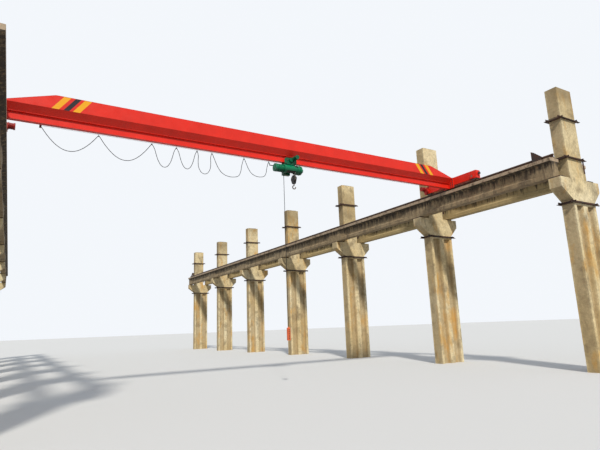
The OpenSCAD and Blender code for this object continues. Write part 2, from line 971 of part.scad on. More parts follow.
module cheek_outline() {
    polygon([
        [-60, sheave_z + 70],
        [60, sheave_z + 70],
        [drum_radius + 14, sheave_z + 10],
        [drum_radius + 14, sheave_z - 40],
        [48, sheave_z - block_low],
        [-48, sheave_z - block_low],
        [-drum_radius - 14, sheave_z - 40],
        [-drum_radius - 14, sheave_z + 10]
    ]);
}

module hook_block() {
    inner = block_inner;
    color(black)
        difference() {
            union() {
                for (side = [-1, 1])
                    translate([side > 0 ? inner : -inner - cheek_thick, girder_y, 0])
                        along_x(hook_x, cheek_thick) cheek_outline();
                translate([hook_x - inner - 6, girder_y - 40, sheave_z - block_low])
                    cube([2 * inner + 12, 80, block_bridge]);
            }
            bar_x(hook_x - 60, girder_y, sheave_z, 120, 18 + axle_clearance);
            translate([hook_x, girder_y, sheave_z - block_low - 10])
                cylinder(h = block_bridge + 20, r = hook_bar + axle_clearance);
        }
}

// Forged hook: shank, bowl and tip swept as arcs
module hook_arc(start, sweep, radius) {
    rotate([90, 0, 0])
        rotate([0, 0, start])
            rotate_extrude(angle = sweep, $fn = 48)
                translate([radius, 0])
                    circle(r = hook_bar, $fn = 24);
}

module hook() {
    bowl_z = sheave_z - bowl_drop;
    nut_z = sheave_z - block_low + block_bridge + 0.3;
    tip = 4;
    color(dark_steel)
        translate([hook_x, girder_y, 0]) {
            translate([0, 0, bowl_z + hook_bowl])
                cylinder(h = nut_z + 10 - bowl_z - hook_bowl, r = hook_bar);
            translate([0, 0, nut_z])
                cylinder(h = 14, r = hook_bar + 4, $fn = 6);
            translate([0, 0, bowl_z])
                hook_arc(80, 280 + tip, hook_bowl);
            translate([hook_bowl * cos(tip), 0, bowl_z + hook_bowl * sin(tip)])
                sphere(r = hook_bar);
        }
}

// One cable hanger: a ring on the wire and a clamp for the cable
module hanger(i) {
    color(black)
        translate([hanger_x[i - 1], wire_y, 0]) {
            translate([0, 0, wire_z - 4.9])
                rotate([0, 90, 0])
                    rotate_extrude($fn = 32)
                        translate([12, 0])
                            circle(r = 4, $fn = 16);
            translate([-3, -4, clamp_z + 8])
                cube([6, 8, wire_z - clamp_z - 20]);
            translate([-clamp_length / 2, -12, clamp_z - 12])
                cube([clamp_length, 24, 24]);
        }
}

// Cable loops between the hangers, each swept along a hanging curve
function loop_from(i) = i == 0 ? loop_start_x : hanger_x[i - 1] + clamp_length / 2;
function loop_to(i) = hanger_x[i] - clamp_length / 2;
function loop_share(i, k) = loop_shapes[loop_kind[i]][k];
function loop_point(i, k) = [
    loop_from(i) + (loop_to(i) - loop_from(i)) * loop_share(i, k)[0],
    wire_y,
    clamp_z - loop_drop[i] * loop_share(i, k)[1]
];
function heading(i, k) =
    let (a = loop_point(i, max(k - 1, 0)), b = loop_point(i, min(k + 1, loop_rings - 1)))
    (k == 0 || k == loop_rings - 1) ? [1, 0, 0] : (b - a) / norm(b - a);
function ring_point(i, k, s) =
    let (t = heading(i, k), a = 360 * s / loop_sides)
    loop_point(i, k) + cable_radius * (cos(a) * [0, 1, 0] + sin(a) * [-t[2], 0, t[0]]);

module cable_loop(i) {
    last = (loop_rings - 1) * loop_sides;
    polyhedron(
        points = [for (k = [0 : loop_rings - 1], s = [0 : loop_sides - 1]) ring_point(i, k, s)],
        faces = [
            [for (s = [0 : loop_sides - 1]) s],
            for (k = [0 : loop_rings - 2], s = [0 : loop_sides - 1])
                [k * loop_sides + s, (k + 1) * loop_sides + s,
                 (k + 1) * loop_sides + (s + 1) % loop_sides, k * loop_sides + (s + 1) % loop_sides],
            [for (s = [loop_sides - 1 : -1 : 0]) last + s]
        ]
    );
}

module festoon_cable() {
    color(black)
        for (i = [0 : 6]) cable_loop(i);
}

module both(side) {
    if (side == "left")
        mirror([1, 0, 0]) children();
    else
        children();
}

columns();  // columns_right
both("left") columns();  // columns_left
beams();  // beams_right
both("left") beams();  // beams_left
rail();  // rail_right
both("left") rail();  // rail_left
bands();  // bands_right
both("left") bands();  // bands_left
bearing_plates();
girder_box();
girder_beam();
joint_plates();
end_carriage();  // end_carriage_right
both("left") end_carriage();  // end_carriage_left
buffers();
travel_wheel(-1);  // wheel_right_near
travel_wheel(1);  // wheel_right_far
both("left") travel_wheel(-1);  // wheel_left_near
both("left") travel_wheel(1);  // wheel_left_far
drive();  // drive_right
both("left") drive();  // drive_left
festoon_wire();
trolley_frame();
trolley_wheels();
trolley_drive();
hoist_casing();
hoist_drum();
hoist_motor();
hoist_gearbox();
control_box();
pendant_cable();
pendant();
hoist_rope();
hook_block();
hook_sheave();
hook();
for (i = [1 : 7])
    hanger(i);
festoon_cable();
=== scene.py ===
import math

import bpy
from mathutils import Matrix, Vector


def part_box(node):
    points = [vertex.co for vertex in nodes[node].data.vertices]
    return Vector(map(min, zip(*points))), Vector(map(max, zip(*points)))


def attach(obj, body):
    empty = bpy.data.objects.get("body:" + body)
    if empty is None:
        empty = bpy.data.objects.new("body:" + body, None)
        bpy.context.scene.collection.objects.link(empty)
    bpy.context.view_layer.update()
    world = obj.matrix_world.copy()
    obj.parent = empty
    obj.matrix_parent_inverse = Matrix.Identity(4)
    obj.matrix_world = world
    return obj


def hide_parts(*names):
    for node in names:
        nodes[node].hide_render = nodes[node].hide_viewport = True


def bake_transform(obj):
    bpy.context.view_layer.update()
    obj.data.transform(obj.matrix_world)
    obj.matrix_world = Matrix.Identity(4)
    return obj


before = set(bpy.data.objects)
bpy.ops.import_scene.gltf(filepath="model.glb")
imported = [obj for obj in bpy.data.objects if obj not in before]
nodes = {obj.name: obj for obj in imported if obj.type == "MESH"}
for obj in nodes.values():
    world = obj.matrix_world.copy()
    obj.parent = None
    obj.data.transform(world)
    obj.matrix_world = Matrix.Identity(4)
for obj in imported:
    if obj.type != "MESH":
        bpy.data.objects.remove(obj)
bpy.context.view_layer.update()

# The camera stands on the floor of the bay at eye height, near the left column row,
# and looks up and across at the crane. It is placed in metres in the object's frame.
eye = Vector((-6.856, -26.195, 1.609))
yaw = 0.5418
pitch = 0.2097
roll = -0.0377
lens_mm = 28.83
sensor_mm = 36.0
view_depth = 500.0
forward = Vector((math.sin(yaw) * math.cos(pitch), math.cos(yaw) * math.cos(pitch), math.sin(pitch)))
level_right = Vector((math.cos(yaw), -math.sin(yaw), 0.0))
level_up = level_right.cross(forward)
right = level_right * math.cos(roll) + level_up * math.sin(roll)
up = level_up * math.cos(roll) - level_right * math.sin(roll)
camera_data = bpy.data.cameras.new("camera")
camera_data.lens = lens_mm
camera_data.sensor_width = sensor_mm
camera_data.clip_end = view_depth
camera = bpy.data.objects.new("camera", camera_data)
camera.matrix_world = Matrix((
    (right.x, up.x, -forward.x, eye.x),
    (right.y, up.y, -forward.y, eye.y),
    (right.z, up.z, -forward.z, eye.z),
    (0.0, 0.0, 0.0, 1.0),
))
bpy.context.scene.collection.objects.link(camera)
bpy.context.scene.camera = camera
bpy.context.scene.view_settings.view_transform = "Standard"

# Festoon cable: one length of round cable in a black rubber sheath, clamped under each hanger, in
# seven loops. Each loop hangs freely between two clamps.
bridge_y = (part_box("girder_box")[0].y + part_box("girder_box")[1].y) / 2
wire_offset = 0.3
wire_y = bridge_y + wire_offset
clamp_z = 6.658
clamp_half = 0.015
cable_radius = 0.008
hanger_x = [-5.23, -3.87, -3.19, -2.59, -2.14, -1.12, -0.285]
loop_drop = [0.52, 0.56, 0.6, 0.56, 0.64, 0.62, 0.5]
loop_start_x = -6.545
loop_shapes = [
    [(0, 0), (0.1, 0.34), (0.2, 0.62), (0.3, 0.83), (0.4, 0.96), (0.5, 1),
     (0.6, 0.96), (0.7, 0.83), (0.8, 0.62), (0.9, 0.34), (1, 0)],
    [(0, 0), (0.1, 0.2), (0.17, 0.45), (0.26, 0.72), (0.38, 0.93), (0.52, 1),
     (0.66, 0.93), (0.78, 0.72), (0.86, 0.45), (0.92, 0.2), (1, 0)],
    [(0, 0), (0.06, 0.2), (0.05, 0.45), (0.09, 0.72), (0.26, 0.93), (0.5, 1),
     (0.74, 0.93), (0.91, 0.72), (0.95, 0.45), (0.94, 0.2), (1, 0)],
    [(0, 0), (0.08, 0.3), (0.15, 0.55), (0.25, 0.79), (0.38, 0.94), (0.53, 1),
     (0.68, 0.99), (0.82, 0.91), (0.9, 0.68), (0.94, 0.34), (1, 0)],
]
loop_kind = [0, 0, 1, 1, 2, 3, 3]
steps_between_points = 6
tube_sides = 12


def new_material(name):
    material = bpy.data.materials.new(name)
    material.use_nodes = True
    return material, material.node_tree, material.node_tree.nodes["Principled BSDF"]


def object_place(tree, stretch=(1.0, 1.0, 1.0)):
    place = tree.nodes.new("ShaderNodeTexCoord")
    mapping = tree.nodes.new("ShaderNodeMapping")
    mapping.inputs["Scale"].default_value = stretch
    tree.links.new(place.outputs["Object"], mapping.inputs["Vector"])
    return mapping.outputs["Vector"]


def noise(tree, scale, detail=5.0, roughness=0.55, stretch=(1.0, 1.0, 1.0)):
    texture = tree.nodes.new("ShaderNodeTexNoise")
    texture.inputs["Scale"].default_value = scale
    texture.inputs["Detail"].default_value = detail
    texture.inputs["Roughness"].default_value = roughness
    tree.links.new(object_place(tree, stretch), texture.inputs["Vector"])
    return texture.outputs["Fac"]


def ramp(tree, value, stops):
    node = tree.nodes.new("ShaderNodeValToRGB")
    for element, (position, colour) in zip(node.color_ramp.elements, stops):
        element.position = position
        element.color = (*colour, 1.0)
    tree.links.new(value, node.inputs["Fac"])
    return node.outputs["Color"]


def grey(level):
    return (level, level, level)


def coat(tree, shader, tint, roughness=None):
    tree.links.new(tint, shader.inputs["Base Color"])
    if roughness is not None:
        tree.links.new(roughness, shader.inputs["Roughness"])


def add_bump(tree, shader, height, strength, distance):
    bump = tree.nodes.new("ShaderNodeBump")
    bump.inputs["Strength"].default_value = strength
    bump.inputs["Distance"].default_value = distance
    tree.links.new(height, bump.inputs["Height"])
    tree.links.new(bump.outputs["Normal"], shader.inputs["Normal"])


def smooth_path(points, steps):
    ends = [2 * points[0] - points[1], *points, 2 * points[-1] - points[-2]]
    path = []
    for a, b, c, d in zip(ends, ends[1:], ends[2:], ends[3:]):
        for step in range(steps):
            t = step / steps
            path.append(0.5 * (2 * b + (c - a) * t + (2 * a - 5 * b + 4 * c - d) * t * t
                               + (3 * b - a - 3 * c + d) * t * t * t))
    return path + [points[-1]]


def link_mesh(name, vertices, faces, material):
    mesh = bpy.data.meshes.new(name)
    mesh.from_pydata([tuple(v) for v in vertices], [], faces)
    mesh.materials.append(material)
    mesh.update()
    piece = bpy.data.objects.new(name, mesh)
    bpy.context.scene.collection.objects.link(piece)
    return piece


def tube_parts(path, radius, sides):
    vertices = []
    faces = []
    for index, point in enumerate(path):
        along = (path[min(index + 1, len(path) - 1)] - path[max(index - 1, 0)]).normalized()
        side = along.cross(Vector((0, 1, 0))).normalized()
        other = side.cross(along)
        for corner in range(sides):
            angle = 2 * math.pi * corner / sides
            vertices.append(point + radius * (math.cos(angle) * other + math.sin(angle) * side))
    for ring in range(len(path) - 1):
        for corner in range(sides):
            a = ring * sides + corner
            b = ring * sides + (corner + 1) % sides
            faces.append((a, a + sides, b + sides, b))
    faces.append(tuple(range(sides)))
    faces.append(tuple(range(len(vertices) - 1, len(vertices) - 1 - sides, -1)))
    return vertices, faces


def shade_round(piece):
    for face in piece.data.polygons:
        face.use_smooth = len(face.vertices) == 4


sheath, tree, shader = new_material("cable sheath")
dust = noise(tree, 9.0)
sheath_tint = ramp(tree, dust, [(0.35, (0.004, 0.005, 0.009)), (0.75, (0.018, 0.018, 0.020))])
coat(tree, shader, sheath_tint, ramp(tree, dust, [(0.3, grey(0.42)), (0.8, grey(0.7))]))
shader.inputs["Specular IOR Level"].default_value = 0.15
add_bump(tree, shader, noise(tree, 60.0), 0.15, 0.001)

for index, (end_x, drop, kind) in enumerate(zip(hanger_x, loop_drop, loop_kind)):
    start_x = loop_start_x if index == 0 else hanger_x[index - 1] + clamp_half
    width = end_x - clamp_half - start_x
    points = [Vector((start_x + width * x, wire_y, clamp_z - drop * z)) for x, z in loop_shapes[kind]]
    path = smooth_path(points, steps_between_points)
    loop = link_mesh(f"festoon_loop_{index + 1}", *tube_parts(path, cable_radius, tube_sides), sheath)
    shade_round(loop)
    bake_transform(loop)
    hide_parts("festoon_cable")

# Pendant cable: one plain length of the same sheathed cable from the gland under the control box,
# hanging straight down to the pendant control at hand height.
pendant_x = 0.2
pendant_offset = 0.228
pendant_place = Vector((pendant_x, bridge_y + pendant_offset, 0.0))
cable_top_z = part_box("pendant_cable")[1].z
cable_low_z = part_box("pendant_cable")[0].z
pendant_points = 20
path = [pendant_place + Vector((0, 0, cable_top_z + (cable_low_z - cable_top_z) * k / (pendant_points - 1)))
        for k in range(pendant_points)]
pendant_cable = link_mesh("pendant_lead", *tube_parts(path, cable_radius, tube_sides), sheath)
shade_round(pendant_cable)
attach(pendant_cable, "trolley")
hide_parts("pendant_cable")

# Hoist rope: two falls of laid steel wire rope from the drum to the sheave. The strands
# are twisted.
rope_radius = 0.0059
strand_radius = 0.36 * rope_radius
strand_lay = 0.62 * rope_radius
rope_strands = 6
rope_pitch = 0.07
rope_rings = 60
strand_sides = 6
hook_x = 0.43
fall_y = 0.1
rope_top_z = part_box("hoist_rope")[1].z
rope_low_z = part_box("hoist_rope")[0].z

rope_steel, tree, shader = new_material("wire rope")
shader.inputs["Metallic"].default_value = 0.7
shader.inputs["Roughness"].default_value = 0.5
coat(tree, shader, ramp(tree, noise(tree, 30.0), [(0.3, grey(0.10)), (0.75, (0.3, 0.29, 0.27))]))
add_bump(tree, shader, noise(tree, 400.0), 0.3, 0.001)

vertices = []
faces = []
for side in (-1, 1):
    for strand in range(rope_strands):
        path = []
        for ring in range(rope_rings + 1):
            z = rope_top_z + (rope_low_z - rope_top_z) * ring / rope_rings
            angle = 2 * math.pi * (strand / rope_strands + (rope_top_z - z) / rope_pitch)
            x = hook_x + strand_lay * math.cos(angle)
            y = bridge_y + side * fall_y + strand_lay * math.sin(angle)
            path.append(Vector((x, y, z)))
        more_vertices, more_faces = tube_parts(path, strand_radius, strand_sides)
        faces += [tuple(v + len(vertices) for v in face) for face in more_faces]
        vertices += more_vertices
rope = link_mesh("rope_falls", vertices, faces, rope_steel)
shade_round(rope)
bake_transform(rope)
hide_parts("hoist_rope")

# Columns: precast concrete, ochre with grey and brown weathering and rusty runs. Each stands upright
# in the floor. Painted shade darkens the channels and the narrow faces.
half_bay = 3.0
first_column_y = -18.0
face_depth = 0.197
channel_depth = 0.13
age_low_z = 6.2
age_high_z = 7.4


def blend_colours(tree, factor, first, second, mode="MIX"):
    node = tree.nodes.new("ShaderNodeMix")
    node.data_type = "RGBA"
    node.blend_type = mode
    for socket, value in ((node.inputs[0], factor), (node.inputs[6], first), (node.inputs[7], second)):
        if isinstance(value, bpy.types.NodeSocket):
            tree.links.new(value, socket)
        elif isinstance(value, tuple):
            socket.default_value = (*value, 1.0)
        else:
            socket.default_value = value
    return node.outputs[2]


def darken(tree, tint, value, low, high, darkest):
    shade = ramp(tree, value, [(low, grey(darkest)), (high, grey(1.0))])
    return blend_colours(tree, 1.0, tint, shade, "MULTIPLY")


def stain(tree, tint, colour, value, low, high, strength):
    patches = ramp(tree, value, [(low, grey(0.0)), (high, grey(strength))])
    return blend_colours(tree, patches, tint, colour)


def calculate(tree, operation, first, second=0.0):
    node = tree.nodes.new("ShaderNodeMath")
    node.operation = operation
    for socket, value in zip(node.inputs, (first, second)):
        if isinstance(value, bpy.types.NodeSocket):
            tree.links.new(value, socket)
        else:
            socket.default_value = value
    return node.outputs[0]


def object_axis(tree, axis):
    split = tree.nodes.new("ShaderNodeSeparateXYZ")
    tree.links.new(object_place(tree), split.inputs["Vector"])
    return split.outputs[axis]


def from_plane(tree, axis, place=0.0):
    return calculate(tree, "ABSOLUTE", calculate(tree, "SUBTRACT", object_axis(tree, axis), place))


def step_up(tree, value, low, high, level=1.0):
    node = tree.nodes.new("ShaderNodeMapRange")
    for key, number in (("From Min", low), ("From Max", high), ("To Max", level)):
        node.inputs[key].default_value = number
    tree.links.new(value, node.inputs["Value"])
    return node.outputs["Result"]


def finish_node(material, *names):
    for name in names:
        piece = nodes[name]
        if not piece.material_slots:
            piece.data.materials.append(material)
        for material_slot in piece.material_slots:
            material_slot.material = material


def concrete(name, pale, warm, dark, stain_low, stain_high, run_stretch):
    material, tree, shader = new_material(name)
    tint = ramp(tree, noise(tree, 0.35, detail=3.0), [(0.38, pale), (0.62, warm)])
    grain = noise(tree, 14.0, detail=8.0, roughness=0.7)
    tint = darken(tree, tint, grain, 0.3, 0.7, 0.62)
    mottle = noise(tree, 4.5, detail=9.0, roughness=0.72)
    tint = darken(tree, tint, mottle, 0.32, 0.6, 0.72)
    runs = noise(tree, 1.0, detail=8.0, roughness=0.62, stretch=run_stretch)
    tint = stain(tree, tint, dark, runs, stain_low, stain_high, 0.9)
    blotches = noise(tree, 1.7, detail=8.0, roughness=0.65)
    tint = stain(tree, tint, dark, blotches, 0.52, 0.68, 0.75)
    shader.inputs["Roughness"].default_value = 0.9
    pits = noise(tree, 26.0, detail=10.0, roughness=0.75)
    height = calculate(tree, "ADD", calculate(tree, "MULTIPLY", pits, 0.35), noise(tree, 3.0))
    add_bump(tree, shader, height, 0.8, 0.03)
    return material, tree, shader, tint


column_concrete, tree, shader, tint = concrete("column concrete", (0.92, 0.79, 0.51), (0.80, 0.62, 0.32),
                                               (0.19, 0.14, 0.08), 0.57, 0.74, (3.2, 3.2, 1.3))
# Painted shade: the channel floors and the middle of the narrow faces are darkened to brown.
from_first = calculate(tree, "SUBTRACT", object_axis(tree, "Y"), first_column_y)
from_column = calculate(tree, "PINGPONG", from_first, half_bay)
painted_channel_shade = step_up(tree, from_column, face_depth, channel_depth, 0.55)
tint = blend_colours(tree, painted_channel_shade, tint, (0.31, 0.215, 0.105))
rust_run = noise(tree, 1.1, detail=6.0, roughness=0.6, stretch=(1.9, 1.9, 0.7))
tint = stain(tree, tint, (0.56, 0.30, 0.06), rust_run, 0.54, 0.68, 0.8)
damp = noise(tree, 0.8, detail=7.0, roughness=0.65, stretch=(1.6, 1.6, 0.7))
tint = stain(tree, tint, (0.115, 0.09, 0.06), damp, 0.58, 0.72, 0.8)
age = noise(tree, 1.0, detail=3.0, roughness=0.6, stretch=(0.2, 0.36, 0.3))
age = ramp(tree, age, [(0.42, grey(0.0)), (0.62, grey(0.75))])
head_height = step_up(tree, object_axis(tree, "Z"), age_low_z, age_high_z)
tint = blend_colours(tree, calculate(tree, "MULTIPLY", age, head_height), tint, (0.21, 0.15, 0.075))
coat(tree, shader, tint)
finish_node(column_concrete, "columns_right", "columns_left")

# Runway beams: precast concrete, darker than the columns, laid on the corbels. Black water runs hang
# under the flange, over painted shadow that darkens the web just below it. The flange's edge is
# painted pale as sunlit. The outer beams face the next bay and are yellower.
flange_low_z = 6.416
shade_and_run_reach = 0.5
lit_flange_rise = 0.006
outer_from_x = 8.2
outer_full_x = 8.4
beam_concrete, tree, shader, tint = concrete("beam concrete", (0.45, 0.345, 0.205), (0.32, 0.225, 0.12),
                                             (0.085, 0.060, 0.036), 0.50, 0.70, (5.5, 5.5, 0.55))
outer_beam = step_up(tree, from_plane(tree, "X"), outer_from_x, outer_full_x, 0.55)
tint = blend_colours(tree, outer_beam, tint, (0.58, 0.45, 0.21))
# Painted shadow: the dark runs grow stronger up to the flange, as shade under the flange.
shade_below_flange = step_up(tree, object_axis(tree, "Z"), flange_low_z - shade_and_run_reach, flange_low_z, 0.34)
water = noise(tree, 1.0, detail=9.0, roughness=0.7, stretch=(7.0, 7.0, 0.8))
tint = stain(tree, tint, (0.026, 0.019, 0.013), calculate(tree, "ADD", shade_below_flange, water), 0.68, 0.82, 0.92)
# Painted sunlight: the flange's vertical face is painted pale tan in patches, clean of the runs.
painted_flange_light = step_up(tree, object_axis(tree, "Z"), flange_low_z, flange_low_z + lit_flange_rise, 0.85)
flange_light_patches = noise(tree, 5.0, detail=9.0, roughness=0.7)
lit_flange_tint = ramp(tree, flange_light_patches, [(0.36, (0.15, 0.105, 0.065)), (0.5, (0.46, 0.35, 0.24))])
coat(tree, shader, blend_colours(tree, painted_flange_light, tint, lit_flange_tint))
finish_node(beam_concrete, "beams_right", "beams_left")

# Column bands and bearing plates: mild steel angle and plate, black-brown with rust. A threaded tie
# rod with a nut at each end draws each pair of angles together round the column.
column_face_x = 7.87
rod_reach = 0.125
rod_rise = 0.042
rod_radius = 0.009
band_half = 0.208
rod_end = 0.03
rod_nut_depth = 0.014
rod_nut_spread = 1.9
columns_in_row = 7
bands = [(5.071, 9.07), (6.526, 8.67), (7.87, 8.67)]
facing_y = (-math.pi / 2, 0.0, 0.0)


def rusty(name, dark, rust, low, high):
    material, tree, shader = new_material(name)
    shader.inputs["Metallic"].default_value = 0.35
    patches = noise(tree, 7.0, detail=8.0, roughness=0.65)
    rough = ramp(tree, patches, [(0.3, grey(0.55)), (0.7, grey(0.9))])
    coat(tree, shader, ramp(tree, patches, [(low, dark), (high, rust)]), rough)
    add_bump(tree, shader, noise(tree, 90.0, detail=6.0), 0.35, 0.003)
    return material


def new_tree(name, sockets):
    tree = bpy.data.node_groups.new(name, "GeometryNodeTree")
    tree.interface.new_socket("Places", in_out="INPUT", socket_type="NodeSocketGeometry")
    for label, kind in sockets:
        tree.interface.new_socket(label, in_out="INPUT", socket_type=kind)
    tree.interface.new_socket("Pieces", in_out="OUTPUT", socket_type="NodeSocketGeometry")
    return tree, tree.nodes.new("NodeGroupInput")


def add_node(tree, kind, inputs=(), **settings):
    node = tree.nodes.new(kind)
    for key, value in settings.items():
        setattr(node, key, value)
    for key, value in inputs:
        if isinstance(value, bpy.types.NodeSocket):
            tree.links.new(value, node.inputs[key])
        else:
            node.inputs[key].default_value = value
    return node


def times(tree, value, factor):
    return add_node(tree, "ShaderNodeMath", [(0, value), (1, factor)], operation="MULTIPLY").outputs[0]


def lifted(tree, height):
    return add_node(tree, "ShaderNodeCombineXYZ", [("Z", height)]).outputs["Vector"]


def moved(tree, mesh, lift):
    place = add_node(tree, "GeometryNodeTransform", [("Geometry", mesh), ("Translation", lift)])
    return place.outputs["Geometry"]


def drum_shape(tree, sides, radius, depth, lift):
    shape = add_node(tree, "GeometryNodeMeshCylinder", [
        ("Vertices", sides), ("Radius", radius), ("Depth", depth)])
    return moved(tree, shape.outputs["Mesh"], lift)


def block_shape(tree, size, height):
    shape = add_node(tree, "GeometryNodeMeshCube", [("Size", size)])
    return moved(tree, shape.outputs["Mesh"], (0.0, 0.0, height))


def finish_tree(tree, group_in, geometry):
    real = add_node(tree, "GeometryNodeRealizeInstances", [("Geometry", geometry)])
    coated = add_node(tree, "GeometryNodeSetMaterial", [
        ("Geometry", real.outputs["Geometry"]), ("Material", group_in.outputs["Finish"])])
    tree.links.new(coated.outputs["Geometry"], tree.nodes.new("NodeGroupOutput").inputs["Pieces"])


def set_on_points(tree, group_in, shapes):
    joined = tree.nodes.new("GeometryNodeJoinGeometry")
    for shape in shapes:
        tree.links.new(shape, joined.inputs["Geometry"])
    turn = add_node(tree, "FunctionNodeEulerToRotation", [("Euler", group_in.outputs["Turn"])])
    placed = add_node(tree, "GeometryNodeInstanceOnPoints", [
        ("Points", group_in.outputs["Places"]), ("Instance", joined.outputs["Geometry"]),
        ("Rotation", turn.outputs["Rotation"])])
    finish_tree(tree, group_in, placed.outputs["Instances"])


def grow(name, tree, places, values, body, edges=()):
    mesh = bpy.data.meshes.new(name)
    mesh.from_pydata([tuple(p) for p in places], edges, [])
    carrier = bpy.data.objects.new(name, mesh)
    bpy.context.scene.collection.objects.link(carrier)
    modifier = carrier.modifiers.new("grow", "NODES")
    modifier.node_group = tree
    for socket in tree.interface.items_tree:
        if socket.in_out == "INPUT" and socket.name in values:
            modifier[socket.identifier] = values[socket.name]
    evaluated = carrier.evaluated_get(bpy.context.evaluated_depsgraph_get())
    grown = bpy.data.meshes.new_from_object(evaluated)
    bpy.data.objects.remove(carrier)
    piece = bpy.data.objects.new(name, grown)
    bpy.context.scene.collection.objects.link(piece)
    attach(piece, body)


band_steel = rusty("band steel", (0.035, 0.027, 0.024), (0.12, 0.045, 0.022), 0.42, 0.72)
finish_node(band_steel, "bands_right", "bands_left", "bearing_plates")

point_sockets = [("Size", "NodeSocketFloat"), ("Turn", "NodeSocketVector"), ("Finish", "NodeSocketMaterial")]
rod_tree, group_in = new_tree("tie rods", point_sockets)
size = group_in.outputs["Size"]
shapes = [drum_shape(rod_tree, 12, size, 2 * (band_half + rod_end), (0.0, 0.0, 0.0))]
for end in (-1, 1):
    nut_place = (0.0, 0.0, end * (band_half + rod_nut_depth / 2))
    shapes.append(drum_shape(rod_tree, 6, times(rod_tree, size, rod_nut_spread), rod_nut_depth, nut_place))
set_on_points(rod_tree, group_in, shapes)

places = [(row * x, first_column_y + 2 * half_bay * column, band_z + rod_rise)
          for row in (-1, 1) for column in range(columns_in_row) for band_z, back_x in bands
          for x in (column_face_x - rod_reach, back_x + rod_reach)]
grow("band_tie_rods", rod_tree, places, {"Size": rod_radius, "Turn": facing_y, "Finish": band_steel},
     "runway")

# Rails: rolled steel on a grout strip, with brown sides painted darker as shade and a head that the
# wheels keep brighter.
# Forged clips are hooked over the foot and bolted to the beam, one pair every 600 mm.
rail_low, rail_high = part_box("rail_right")
rail_x = (rail_low.x + rail_high.x) / 2
rail_top_z = rail_high.z
worn_full_depth = 0.002
worn_depth = 0.007
clip_pitch = 0.6
clip_count = 59
last_clip_y = 17.2
column_room = 0.12
clip_z = 6.526
clip_offset = 0.1135
clip_nut = 0.016
clip_base = (0.075, 0.06, 0.03)
clip_nose = (0.04, 0.05, 0.012)
clip_nut_depth = 0.016
clip_nut_z = 0.046
stud_length = 0.03
stud_z = 0.058
stud_share = 0.5
facing_up = (0.0, 0.0, 0.0)

rail_steel, tree, shader = new_material("rail steel")
shader.inputs["Metallic"].default_value = 0.3
worn = step_up(tree, object_axis(tree, "Z"), rail_top_z - worn_depth, rail_top_z - worn_full_depth)
# The sides are rust brown, painted darker as shade along the rail.
sides = noise(tree, 6.0, detail=8.0, roughness=0.6)
sides = ramp(tree, sides, [(0.35, (0.05, 0.032, 0.024)), (0.7, (0.15, 0.085, 0.055))])
head = ramp(tree, noise(tree, 11.0), [(0.3, (0.18, 0.15, 0.13)), (0.7, (0.34, 0.30, 0.27))])
coat(tree, shader, blend_colours(tree, worn, sides, head),
     ramp(tree, noise(tree, 12.0), [(0.3, grey(0.4)), (0.7, grey(0.8))]))
add_bump(tree, shader, noise(tree, 80.0), 0.2, 0.002)
finish_node(rail_steel, "rail_right", "rail_left")

clip_tree, group_in = new_tree("rail clips", point_sockets)
size = group_in.outputs["Size"]
set_on_points(clip_tree, group_in, [
    block_shape(clip_tree, clip_base, clip_base[2] / 2),
    block_shape(clip_tree, clip_nose, clip_base[2] + clip_nose[2] / 2),
    drum_shape(clip_tree, 6, size, clip_nut_depth, (0.0, 0.0, clip_nut_z)),
    drum_shape(clip_tree, 12, times(clip_tree, size, stud_share), stud_length, (0.0, 0.0, stud_z)),
])
places = []
for row in (-1, 1):
    for k in range(clip_count):
        y = clip_pitch * (k - (clip_count - 1) / 2)
        if abs(y) < last_clip_y and column_room < y % (2 * half_bay) < 2 * half_bay - column_room:
            places += [(row * rail_x + side * clip_offset, y, clip_z) for side in (-1, 1)]
grow("rail_clips", clip_tree, places, {"Size": clip_nut, "Turn": facing_up, "Finish": band_steel},
     "runway")

# End stop bolts: hexagon heads on round washers, two through each side plate of the four end stops.
# One tree of nodes sets a head and its washer on each point and turns it along the bolt's axis.
stop_bolt_size = 0.016
stop_face = 0.079
stop_bolt_z = 6.6
washer_spread = 1.15
washer_depth = 0.3
washer_lift = 0.1
head_depth = 0.7
head_lift = 0.55
stop_bolts_y = (17.38, 17.53)
facing_x = (0.0, math.pi / 2, 0.0)
facing_back_x = (0.0, -math.pi / 2, 0.0)
facing_back_y = (math.pi / 2, 0.0, 0.0)

bolt_tree, group_in = new_tree("bolt heads", point_sockets)
size = group_in.outputs["Size"]
set_on_points(bolt_tree, group_in, [
    drum_shape(bolt_tree, 16, times(bolt_tree, size, washer_spread), times(bolt_tree, size, washer_depth),
               lifted(bolt_tree, times(bolt_tree, size, washer_lift))),
    drum_shape(bolt_tree, 6, size, times(bolt_tree, size, head_depth),
               lifted(bolt_tree, times(bolt_tree, size, head_lift))),
])
bolt_steel = rusty("bolt steel", (0.06, 0.05, 0.045), (0.16, 0.1, 0.07), 0.4, 0.75)


def set_bolts(name, places, bolt_size, turn, body):
    values = {"Size": bolt_size, "Turn": turn, "Finish": bolt_steel}
    grow(name, bolt_tree, places, values, body)


for turn, side, label in ((facing_x, 1, "right"), (facing_back_x, -1, "left")):
    places = [(row * rail_x + side * stop_face, end * y, stop_bolt_z)
              for row in (-1, 1) for end in (-1, 1) for y in stop_bolts_y]
    set_bolts(f"stop_bolts_{label}", places, stop_bolt_size, turn, "runway")

# End carriages: boxes welded of plate, in sprayed red enamel that is dusty in patches. Six bolts
# hold the cap of each wheel bearing, except where a travel drive covers it.
wheel_low, wheel_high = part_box("wheel_right_far")
wheel_z = (wheel_low.z + wheel_high.z) / 2
wheel_half_base = (wheel_low.y + wheel_high.y) / 2 - bridge_y
cap_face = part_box("end_carriage_right")[1].x - rail_x
cap_bolts = 6
cap_bolt_size = 0.008
cap_bolt_circle = 0.068
red = (0.72, 0.024, 0.011)
red_dust = (0.33, 0.09, 0.05)


